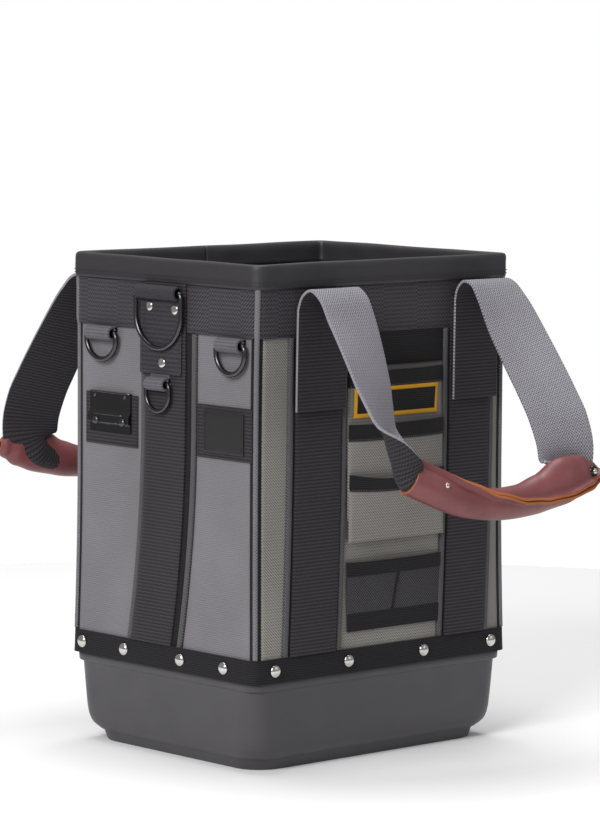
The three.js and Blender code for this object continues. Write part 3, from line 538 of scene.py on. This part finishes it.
def handleFrame(share):
    last = len(stations) - 1
    at = min(share * last, last - 1e-6)
    i = int(at)
    part = at - i
    points = [stations[min(max(j, 0), last)][0] for j in (i - 1, i, i + 1, i + 2)]
    knots = [0.0]
    for a, b in zip(points, points[1:]):
        knots.append(knots[-1] + max(math.sqrt((b - a).length), 0.3))
    slopes = []
    for j in (1, 2):
        spanBefore, spanAfter = knots[j] - knots[j - 1], knots[j + 1] - knots[j]
        before = (points[j] - points[j - 1]) / spanBefore
        after = (points[j + 1] - points[j]) / spanAfter
        slopes.append((before * spanAfter + after * spanBefore) / (spanBefore + spanAfter) * (knots[2] - knots[1]))
    p, q = part, 1 - part
    point = (points[1] * (1 + 2 * p) * q * q + slopes[0] * p * q * q
             + points[2] * (1 + 2 * q) * p * p - slopes[1] * q * p * p)
    tangent = (points[1] * (-6 * p * q) + slopes[0] * (q * q - 2 * p * q)
               + points[2] * (6 * p * q) + slopes[1] * (p * p - 2 * p * q)).normalized()
    across = stations[i][1].normalized().lerp(stations[i + 1][1].normalized(), part)
    across = (across - tangent * across.dot(tangent)).normalized()
    ease = part * part * (3 - 2 * part)
    roll = stations[i][2] + (stations[i + 1][2] - stations[i][2]) * ease
    return point, tangent, across, tangent.cross(across), roll


handleSteps = 180
handleLengths = [0.0]
for step in range(handleSteps):
    a, b = handleFrame(step / handleSteps)[0], handleFrame((step + 1) / handleSteps)[0]
    handleLengths.append(handleLengths[-1] + (b - a).length)
rollRadius = handle["width"] / math.radians(handle["roll"])


def handlePlace(s, t):
    point, tangent, across, inward, roll = handleFrame(t)
    turn = math.radians(handle["roll"]) * max(roll, 0.002)
    wide = handle["width"] + (handle["widthLeft"] - handle["width"]) * max(0, 1 - 2.5 * t)
    radius = wide / turn
    angle = turn * (s - 0.5)
    reach = radius + handle["thick"] / 2
    return (point + across * reach * math.sin(angle)
            + inward * (radius - reach * math.cos(angle) - roll * rollRadius)) * mm


def turnRound(shape):
    bmesh.ops.rotate(shape, verts=shape.verts, cent=(0, 0, 0), matrix=Matrix.Rotation(math.pi, 3, "Z"))


def makeHandle(side):
    shape = gridShape(handlePlace, (handle["width"], handleLengths[-1]), (16, handleSteps))
    weave = shape.loops.layers.uv["weave"]
    for face in shape.faces:
        for loop in face.loops:
            at = loop[weave].uv.y / (handleLengths[-1] * mm) * handleSteps
            i = min(int(round(at)), handleSteps)
            loop[weave].uv.y = handleLengths[i] * mm
    bmesh.ops.reverse_faces(shape, faces=shape.faces)
    if side == "rear":
        turnRound(shape)
    piece = finishMesh(shape, f"{side}_handle_webbing", ["gray webbing", "black webbing"])
    thicken(piece, handle["thick"], inner=1, bevel=0.4)
    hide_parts(f"{side}_handle")
    return piece


for side in ("front", "rear"):
    makeHandle(side)

# Leather grip: one piece wrapped round the rolled webbing. Its raw edges stand together in a seam
# that winds from the top at the left end to the lower front at the right end, where the leather
# opens into a flat mouth for the webbing. Rows: the middle line, how far the leather reaches up,
# down and to the front of it, and where the seam is, in degrees from the top towards the front.
grip = {"thick": 2.2, "fin": 5.5, "gap": 0.7, "finShare": 0.08}
gripRows = [
    ((-65, -221.5, 260), 14, 14, 14, 4), ((-44, -228, 250), 14, 14, 14, 8),
    ((-16, -233, 239), 13.5, 14, 13.9, 30), ((16, -237, 233.5), 13.9, 13.9, 13.9, 62),
    ((48, -238.5, 233), 15, 13.9, 13.9, 84), ((76, -239, 237.5), 18, 15.5, 14.4, 98),
    ((100, -242, 245), 24, 18, 14.6, 108), ((120, -243.5, 250), 20, 16, 11.4, 110),
    ((134, -244, 253), 11, 10, 7, 108), ((141, -244, 254.5), 5, 5, 3.5, 100),
]


def gripFrame(t):
    at = min(t, 0.99999) * (len(gripRows) - 1)
    i = int(at)
    part = at - i
    rows = [gripRows[min(max(j, 0), len(gripRows) - 1)] for j in (i - 1, i, i + 1, i + 2)]
    a, b, c, d = [Vector(row[0]) for row in rows]
    point = 0.5 * (2 * b + (c - a) * part + (2 * a - 5 * b + 4 * c - d) * part ** 2
                   + (3 * b - a - 3 * c + d) * part ** 3)
    tangent = (0.5 * ((c - a) + 2 * (2 * a - 5 * b + 4 * c - d) * part
                      + 3 * (3 * b - a - 3 * c + d) * part ** 2)).normalized()
    ease = part * part * (3 - 2 * part)
    shape = [rows[1][k] + (rows[2][k] - rows[1][k]) * ease for k in (1, 2, 3, 4)]
    return point, tangent, shape


def gripPlace(s, t):
    point, tangent, (up, down, depth, seamAt) = gripFrame(t)
    toFront = Vector((0, -1, 0))
    toFront = (toFront - tangent * toFront.dot(tangent)).normalized()
    upward = toFront.cross(tangent)

    def outline(angle):
        rise = math.cos(angle)
        return upward * rise * (up if rise > 0 else down) + toFront * math.sin(angle) * depth

    half = grip["gap"] / 2 + grip["thick"]
    bend = math.asin(min(0.9, half / min(up, down, depth)))
    seam_and_shadow = math.radians(seamAt)
    if s < grip["finShare"] or s > 1 - grip["finShare"]:
        near = min(s, 1 - s) / grip["finShare"]
        foot = outline(seam_and_shadow + bend) if s < 0.5 else outline(seam_and_shadow - bend)
        outward = outline(seam_and_shadow).normalized()
        return (point + foot + outward * grip["fin"] * (1 - near)) * mm
    around = seam_and_shadow + bend + (2 * math.pi - 2 * bend) * (s - grip["finShare"]) / (1 - 2 * grip["finShare"])
    return (point + outline(around)) * mm


def makeGrip(side):
    shape = gridShape(gripPlace, (90, 190), (50, 60))
    if side == "rear":
        turnRound(shape)
    piece = finishMesh(shape, f"{side}_grip_leather", ["oiled leather", "cut leather edge"])
    thicken(piece, grip["thick"], inner=1, rim=1)
    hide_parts(f"{side}_grip")
    return piece


for side in ("front", "rear"):
    makeGrip(side)
print("handles made")

# Front pockets, mesh pocket and label.
pocketSpan = (-43.7, 70.7)
pockets = [
    {"name": "pocket_1", "high": 343, "deep": 84, "off": 0.3, "bulge": 5.4, "sag": 0.6},
    {"name": "pocket_2", "high": 296.5, "deep": 84, "off": 1.9, "bulge": 6.2, "sag": 0.8},
    {"name": "pocket_3", "high": 253, "deep": 60, "off": 3.5, "bulge": 6.8, "sag": 6},
]
hem = {"high": 14.5, "thick": 1.9, "cloth": 1.3}


def bowed(bulge, s, t):
    return bulge * (1 - (2 * s - 1) ** 4) * t ** 2


for row in pockets:
    low = row["high"] - row["deep"]
    share = hem["high"] / row["deep"]
    droop = lambda s, t, row=row: -row["sag"] * (1 - (2 * s - 1) ** 2) * t ** 3
    layerCloth(f"{row['name']}_cloth", "front", *pocketSpan, low, row["high"] - hem["high"] + 2,
               lambda s, t, row=row, share=share: row["off"] + hem["cloth"] + bowed(
                   row["bulge"], s, t * (1 - share + 2 / row["deep"])),
               hem["cloth"], ["gray twill"], (28, 20), nodes=[row["name"]], restsOn=["front_panel_cloth"],
               sag=lambda s, t, droop=droop, share=share: droop(s, t * (1 - share)), bevel=0)
    layerCloth(f"{row['name']}_hem", "front", *pocketSpan, row["high"] - hem["high"], row["high"],
               lambda s, t, row=row, share=share: row["off"] + hem["thick"] + 0.3 + bowed(
                   row["bulge"], s, 1 - share * (1 - t)),
               hem["thick"], ["black grosgrain"], (28, 6), restsOn=[f"{row['name']}_cloth"],
               sag=lambda s, t, droop=droop, share=share: droop(s, 1 - share * (1 - t)))

label = {"width": 101, "high": 328.2, "deep": 26.5, "border": 3.6, "middle": 13}
firstPocket = pockets[0]


def labelOut(extra, width):
    def out(s, t):
        across = 0.5 + (s - 0.5) * width / (pocketSpan[1] - pocketSpan[0])
        up = (label["high"] - label["deep"] * (1 - t) - (firstPocket["high"] - firstPocket["deep"])) \
            / firstPocket["deep"]
        return firstPocket["off"] + hem["cloth"] + extra + bowed(firstPocket["bulge"], across, up)
    return out


layerCloth("label_border", "front", label["middle"] - label["width"] / 2, label["middle"] + label["width"] / 2,
           label["high"] - label["deep"], label["high"], labelOut(0.9, label["width"]), 0.6, ["amber border"],
           (28, 6), nodes=["label_patch"], restsOn=["pocket_1_cloth"])
inner = label["border"]
layerCloth("label_field", "front", label["middle"] - label["width"] / 2 + inner,
           label["middle"] + label["width"] / 2 - inner, label["high"] - label["deep"] + inner,
           label["high"] - inner, labelOut(1.2, label["width"] - 2 * inner), 0.5, ["black grosgrain"],
           (28, 6), restsOn=["label_border"])

meshPocket = {"low": 114.5, "high": 175.5, "bulge": 5.4, "binding": 15}
layerCloth("mesh_pocket_net", "front", *pocketSpan, meshPocket["low"], meshPocket["high"],
           lambda s, t: 1.4 + bowed(meshPocket["bulge"], s, t), 0.8, ["pocket mesh"], (30, 24),
           nodes=["mesh_pocket"], restsOn=["front_panel_cloth"], bevel=0)
for name, low, high in [("low", 114.5, 130), ("high", 163, 175.5)]:
    layerCloth(f"mesh_pocket_{name}_binding", "front", *pocketSpan, low, high,
               lambda s, t, low=low, high=high: 2.2 + bowed(
                   meshPocket["bulge"], s, (low + t * (high - low) - meshPocket["low"]) / 61),
               0.8, ["black grosgrain"], (28, 4), restsOn=["mesh_pocket_net"])
layerCloth("mesh_pocket_divider", "front", lambda z: 9 + 7 * (z - 130) / 45, lambda z: 11.5 + 7 * (z - 130) / 45,
           130, 175, lambda s, t: 2.2 + bowed(meshPocket["bulge"], 0.5, 0.25 + 0.75 * t), 0.8,
           ["black grosgrain"], (2, 10), restsOn=["mesh_pocket_net"])

layerCloth("name_band_webbing", "front", *pocketSpan, 346.4, 375.7, 1.5, 1.1, ["black grosgrain"], (20, 6),
           restsOn=["front_panel_cloth"])
print("pockets made")


# Rings and tabs on the left side.
rings = {
    "large_ring": {"place": 1, "bar": 410, "inside": 56, "reach": 49, "wire": 4.6, "out": 8.75},
    "small_ring": {"place": 0.6, "bar": 330, "inside": 27, "reach": 24, "wire": 4, "out": 8.45},
    "left_ring": {"place": -81, "bar": 369.5, "inside": 36, "reach": 23.5, "wire": 4.8, "out": 4.85},
    "right_ring": {"place": 92, "bar": 369.5, "inside": 32, "reach": 25, "wire": 4.8, "out": 4.85},
}


def ringOutline(ring):
    half = (ring["inside"] + ring["wire"]) / 2
    corner = ring["wire"]
    bow = min(half, ring["reach"] - corner)
    outline = []
    for cx, cz, rx, rz, start, end, steps in [
            (half - corner, -corner, corner, corner, 90, 0, 8), (0, bow - ring["reach"], half, bow, 0, -180, 40),
            (corner - half, -corner, corner, corner, 180, 90, 8)]:
        for i in range(steps + 1):
            angle = math.radians(start + (end - start) * i / steps)
            outline.append((cx + rx * math.cos(angle), cz + rz * math.sin(angle)))
    return outline


def sweptWire(points, radius, closed, sides=16):
    curve = bpy.data.curves.new("wire", "CURVE")
    curve.dimensions, curve.bevel_depth, curve.bevel_resolution = "3D", radius, sides // 4
    line = curve.splines.new("POLY")
    line.points.add(len(points) - 1)
    for vertex, point in zip(line.points, points):
        vertex.co = (*point, 1)
    line.use_cyclic_u = closed
    holder = bpy.data.objects.new("wire", curve)
    mesh = bpy.data.meshes.new_from_object(holder)
    bpy.data.objects.remove(holder)
    bpy.data.curves.remove(curve)
    shape = bmesh.new()
    shape.from_mesh(mesh)
    bpy.data.meshes.remove(mesh)
    return shape


for name, ring in rings.items():
    outs = clothLine("left", ring["bar"]) + ring["out"]
    path = [Vector((-outs, -(ring["place"] + u), ring["bar"] + z)) * mm for u, z in ringOutline(ring)]
    wire = sweptWire(path, ring["wire"] / 2 * mm, True)
    bmesh.ops.recalc_face_normals(wire, faces=wire.faces)
    piece = finishMesh(wire, f"{name}_steel", ["black nickel"], body=name)
    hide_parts(name)

tabs = {
    "ring_strap": {"ring": "large_ring", "width": 54, "end": 338.5, "base": 4.3, "cloth": "fine black webbing"},
    "small_ring_tab": {"ring": "small_ring", "width": 24.5, "end": 338.2, "base": 4.3, "cloth": "fine gray webbing"},
    "left_ring_tab": {"ring": "left_ring", "width": 33, "end": 375.7, "base": 0.3, "cloth": "fine gray webbing"},
    "right_ring_tab": {"ring": "right_ring", "width": 29, "end": 375.7, "base": 0.3, "cloth": "fine gray webbing"},
}
tabThick = 1.8
for name, tab in tabs.items():
    ring = rings[tab["ring"]]
    loop = ring["wire"] / 2 + 0.35 + tabThick
    down = tab["end"] < ring["bar"]
    lift = 1 if down else -1
    path = [(tab["base"] + tabThick, tab["end"] + (ring["bar"] - tab["end"]) * k / 12) for k in range(11)]
    start = math.degrees(math.acos((loop - tabThick) / loop))
    for k in range(25):
        angle = math.radians(180 + start - (360 + start - 8) * k / 24)
        path.append((tab["base"] + loop + loop * math.cos(angle), ring["bar"] + lift * loop * math.sin(angle)))

    def tabPlace(s, t, path=path, ring=ring, tab=tab, lift=lift):
        at = t * (len(path) - 1)
        i = min(int(at), len(path) - 2)
        out = path[i][0] + (path[i + 1][0] - path[i][0]) * (at - i)
        z = path[i][1] + (path[i + 1][1] - path[i][1]) * (at - i)
        u = ring["place"] + (s - 0.5) * tab["width"] * lift
        return onSide("left", u, out, z)

    length = sum(math.dist(a, b) for a, b in zip(path, path[1:]))
    shape = gridShape(tabPlace, (tab["width"], length), (10, 70))
    piece = finishMesh(shape, f"{name}_webbing", [tab["cloth"]])
    thicken(piece, tabThick, bevel=0.3)
    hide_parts(name)
print("rings made")

# Patches, clip plate and vinyl square on the left side.
for name, middle in [("left_patch", -70.5), ("right_patch", 81)]:
    layerCloth(f"{name}_webbing", "left", middle - 35.7, middle + 35.7, 270, 316, 1.3, 1.0, ["black webbing"],
               (14, 10), nodes=[name], restsOn=["left_panel_cloth"])
layerCloth("vinyl_square_sheet", "left", 55, 107, 275, 311, lambda s, t: 2.8 + 0.3 * math.sin(math.pi * s), 1.1,
           ["smooth vinyl"], (12, 8), nodes=["vinyl_square"], restsOn=["right_patch_webbing"])
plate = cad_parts["clip_plate"]
plate.data.materials.clear()
plate.data.materials.append(finishes["black enamelled steel"])

# Rivets: a low dome, flat underneath.
def domeShape(diameter, height, rings=8):
    shape = bmesh.new()
    bmesh.ops.create_uvsphere(shape, u_segments=24, v_segments=2 * rings, radius=diameter / 2 * mm)
    bmesh.ops.bisect_plane(shape, geom=shape.verts[:] + shape.edges[:] + shape.faces[:], dist=1e-7,
                           plane_co=(0, 0, 0), plane_no=(0, 0, -1), clear_outer=True)
    bmesh.ops.scale(shape, verts=shape.verts, vec=(1, 1, 2 * height / diameter))
    bmesh.ops.holes_fill(shape, edges=[e for e in shape.edges if e.is_boundary], sides=0)
    bmesh.ops.recalc_face_normals(shape, faces=shape.faces)
    return shape


def rivetOn(name, side, u, out, z, diameter, height, finish, node=None):
    shape = domeShape(diameter, height)
    outward = (onSide(side, u, 10, z) - onSide(side, u, 0, z)).normalized()
    place = Matrix.Translation(onSide(side, u, out, z)) @ outward.to_track_quat("Z", "Y").to_matrix().to_4x4()
    bmesh.ops.transform(shape, matrix=place, verts=shape.verts)
    piece = finishMesh(shape, name, [finish])
    if node:
        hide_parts(node)
    return piece


# Sewing: one row of short thread arcs, each of few faces, along a line of points in metres.
def sewRow(shape, points, outward, pitch=3.4, long=2.3, thick=0.75):
    lengths = [0.0]
    for a, b in zip(points, points[1:]):
        lengths.append(lengths[-1] + (b - a).length)
    count = max(1, round(lengths[-1] / (pitch * mm)))
    i = 0
    for k in range(count):
        at = (k + 0.5) * lengths[-1] / count
        while i < len(points) - 2 and lengths[i + 1] < at:
            i += 1
        a, b = points[i], points[i + 1]
        place = a + (b - a) * ((at - lengths[i]) / max(lengths[i + 1] - lengths[i], 1e-9))
        along = (b - a).normalized()
        out = outward(place) if callable(outward) else outward
        side = out.cross(along).normalized()
        turned = Matrix((along, side, along.cross(side))).transposed().to_4x4()
        size = Matrix.Diagonal((long / 2 * mm, thick / 2 * mm, thick / 2 * mm, 1))
        bmesh.ops.create_icosphere(shape, subdivisions=1, radius=1, matrix=Matrix.Translation(place) @ turned @ size)


def sideLine(side, corners, out, steps=12):
    points = []
    for (u, z), (v, w) in zip(corners, corners[1:]):
        for k in range(steps + 1):
            share = k / steps
            points.append(onSide(side, u + (v - u) * share, out, z + (w - z) * share))
    return points


def facingOut(side):
    return Matrix.Rotation(math.radians(sides[side]["turn"]), 3, "Z") @ Vector((0, -1, 0))


def sewLines(name, finish, rows, **size):
    shape = bmesh.new()
    for side, corners, out in rows:
        sewRow(shape, sideLine(side, corners, out), facingOut(side), **size)
    return finishMesh(shape, name, [finish])


rimSewing = bmesh.new()
for z, out in [(421.5, 5.2), (424.2, 5.25)]:
    sewRow(rimSewing, [aroundBody(k / 240, out + 0.1, z) for k in range(241)],
           lambda place: Vector((place.x if abs(place.x) > 0.14 else 0, place.y if abs(place.y) > 0.115 else 0, 0)).normalized())
finishMesh(rimSewing, "rim_sewing", ["black thread"])
bandSewing = bmesh.new()
sewRow(bandSewing, [aroundBody(k / 240, 1.75, 378.6) for k in range(241)],
       lambda place: Vector((place.x if abs(place.x) > 0.14 else 0, place.y if abs(place.y) > 0.115 else 0, 0)).normalized())
finishMesh(bandSewing, "upper_band_sewing", ["black thread"])

strapSewing = []
for side in ("front", "rear"):
    for place, half in [(handle["left"], 24), (handle["right"], 22)]:
        left, right = place - half, place + half
        strapSewing.append((side, [(left - 1, 315), (right + 1, 315)], 6.85))
        strapSewing.append((side, [(left, 317), (right, 388)], 6.85))
        strapSewing.append((side, [(left, 388), (right, 317)], 6.85))
        strapSewing.append((side, [(left, 317), (left, 396), (right, 396), (right, 317)], 6.85))
sewLines("handle_sewing", "gray thread", [row for row in strapSewing if len(row[1]) == 2 and row[1][0][1] == 315],
         pitch=3.6, long=2.6)
sewLines("handle_cross_sewing", "dark gray thread", [row for row in strapSewing if row[1][0][1] != 315])
tabSewing = [("left", [(-19, 403.5), (23, 403.5)], 6.3), ("left", [(-24, 340.8), (29, 340.8)], 6.3),
             ("left", [(-24, 340.8), (-24, 402)], 6.3), ("left", [(29, 340.8), (29, 402)], 6.3),
             ("left", [(-97, 378.3), (-65, 378.3)], 1.9), ("left", [(78, 378.3), (106, 378.3)], 1.9),
             ("left", [(-10, 337.2), (11.5, 337.2)], 6.3)]
sewLines("tab_sewing", "dark gray thread", tabSewing, pitch=2.6, long=1.9)
patchSewing = [("left", [(-104.4, 271.8), (-104.4, 314.4), (-36.8, 314.4), (-36.8, 271.8), (-104.4, 271.8)], 1.5),
               ("left", [(47.2, 271.8), (47.2, 314.4), (114.8, 314.4), (114.8, 271.8), (47.2, 271.8)], 1.5),
               ("left", [(57, 277), (57, 309), (105, 309), (105, 277), (57, 277)], 3.05)]
sewLines("patch_sewing", "black thread", patchSewing, pitch=3)
hemRows = []
for row in pockets:
    low = row["high"] - hem["high"] + 1.3
    points = [onSide("front", pocketSpan[0] + 1 + k * (pocketSpan[1] - pocketSpan[0] - 2) / 24,
                     row["off"] + hem["thick"] + 0.5 + bowed(row["bulge"], (k + 0.2) / 24.4, 1 - hem["high"] / row["deep"]),
                     low - row["sag"] * (1 - (k / 12 - 1) ** 2) * (1 - hem["high"] / row["deep"]) ** 3)
              for k in range(25)]
    hemRows.append(points)
hemSewing = bmesh.new()
for points in hemRows:
    sewRow(hemSewing, points, Vector((0, -1, 0)), pitch=3)
finishMesh(hemSewing, "pocket_hem_sewing", ["dark gray thread"])
print("sewing made")

rivetPlaces = {"front": [-129.4, -43.1, 47.9, 132], "left": [-108, -50, 26.5, 84],
               "rear": [-129.4, -43.1, 47.9, 132], "right": [-92, -32, 32, 92]}
number = 1
for side, places in rivetPlaces.items():
    for u in places:
        rivetOn(f"base_rivet_{number:02d}_head", side, u, 2.3, 89.7, 11.5, 3, "polished nickel",
                f"base_rivet_{number:02d}")
        number += 1
for side in ("front", "rear"):
    rivetOn(f"{side}_left_handle_rivet", side, handle["left"] - 18, 6.8, 393.5, 10.5, 2.2, "black nickel")
    rivetOn(f"{side}_right_handle_rivet", side, handle["right"] - 17, 6.8, 393, 10.5, 2.2, "polished nickel")
for number, (u, z, out, size) in enumerate([(-91.5, 313.8, 3.0, 4), (-50.5, 313.8, 3.0, 4),
                                             (-87.5, 291.6, 5.2, 7.5), (-50.8, 291.6, 5.2, 7.5)], 1):
    rivetOn(f"clip_plate_rivet_{number}", "left", u, out, z, size, size * 0.34, "black nickel")
plateBars = {"cross": [(-89.5, 297.5), (-51.5, 297.5), 5.5], "low": [(-82, 290.4), (-58, 290.4), 5.4],
             "top": [(-97.5, 316.9), (-43.5, 316.9), 3.1]}
for name, (start, end, out) in plateBars.items():
    bar = [onSide("left", start[0] + (end[0] - start[0]) * k / 8, out, start[1]) for k in range(9)]
    shape = sweptWire(bar, 0.75 * mm, False, 12)
    bmesh.ops.holes_fill(shape, edges=[e for e in shape.edges if e.is_boundary], sides=0)
    bmesh.ops.recalc_face_normals(shape, faces=shape.faces)
    finishMesh(shape, f"clip_plate_{name}_bar", ["black nickel"])
for side in ("front", "rear"):
    for number, (place, size, finish) in enumerate([((128, -253.2, 255.5), 9.5, "black enamelled steel"),
                                                    ((128, -255.6, 255.5), 5, "polished nickel"),
                                                    ((-40, -242.6, 254.5), 5, "polished nickel")], 1):
        shape = domeShape(size, size * 0.28)
        facing = Matrix.Rotation(math.radians(90), 4, "X")
        bmesh.ops.transform(shape, matrix=Matrix.Translation(Vector(place) * mm) @ facing, verts=shape.verts)
        if side == "rear":
            turnRound(shape)
        finishMesh(shape, f"{side}_grip_snap_{number}", [finish])
for number, (u, z) in enumerate([(-14, 397.3), (20, 395.8), (3.5, 348.4)], 1):
    rivetOn(f"ring_strap_rivet_{number}", "left", u, 6.1, z, 9, 1.6, "polished nickel")
print("rivets made")

# Pale floor, soft lights and white surroundings.
floorShape = bmesh.new()
bmesh.ops.create_circle(floorShape, cap_ends=True, segments=64, radius=1.15)
floorMesh = bpy.data.meshes.new("floor")
floorShape.to_mesh(floorMesh)
floorShape.free()
floor = bpy.data.objects.new("floor", floorMesh)
bpy.context.collection.objects.link(floor)
floorMaterial, floorTree, floorShader = newMaterial("pale floor")
floorShader.inputs["Base Color"].default_value = hexColor(0xf4f4f4)
floorShader.inputs["Roughness"].default_value = 0.9
floorMesh.materials.append(floorMaterial)

lights = {
    "key": {"from": (-2.7, -1.0, 1.9), "size": 1.4, "power": 84},
    "fill": {"from": (1.6, -3.0, 1.6), "size": 1.8, "power": 7},
    "top": {"from": (0.2, 0.4, 3.0), "size": 1.8, "power": 62},
}
for name, light in lights.items():
    data = bpy.data.lights.new(name, "AREA")
    data.size, data.energy = light["size"], light["power"]
    lamp = bpy.data.objects.new(name, data)
    bpy.context.collection.objects.link(lamp)
    place = Vector(light["from"])
    lamp.matrix_world = Matrix.Translation(place) @ (place - Vector((0, 0, 0.2))).to_track_quat("Z", "Y") \
        .to_matrix().to_4x4()
world = bpy.data.worlds.new("surroundings")
world.use_nodes = True
seen = addNode(world.node_tree, "ShaderNodeLightPath").outputs["Is Camera Ray"]
white = addNode(world.node_tree, "ShaderNodeMapRange", {"Value": seen, "To Min": 0.33, "To Max": 1.0})
background = world.node_tree.nodes["Background"]
background.inputs["Color"].default_value = (1, 1, 1, 1)
world.node_tree.links.new(white.outputs["Result"], background.inputs["Strength"])
bpy.context.scene.world = world
bpy.context.scene.view_settings.view_transform = "Standard"
print("lights placed")
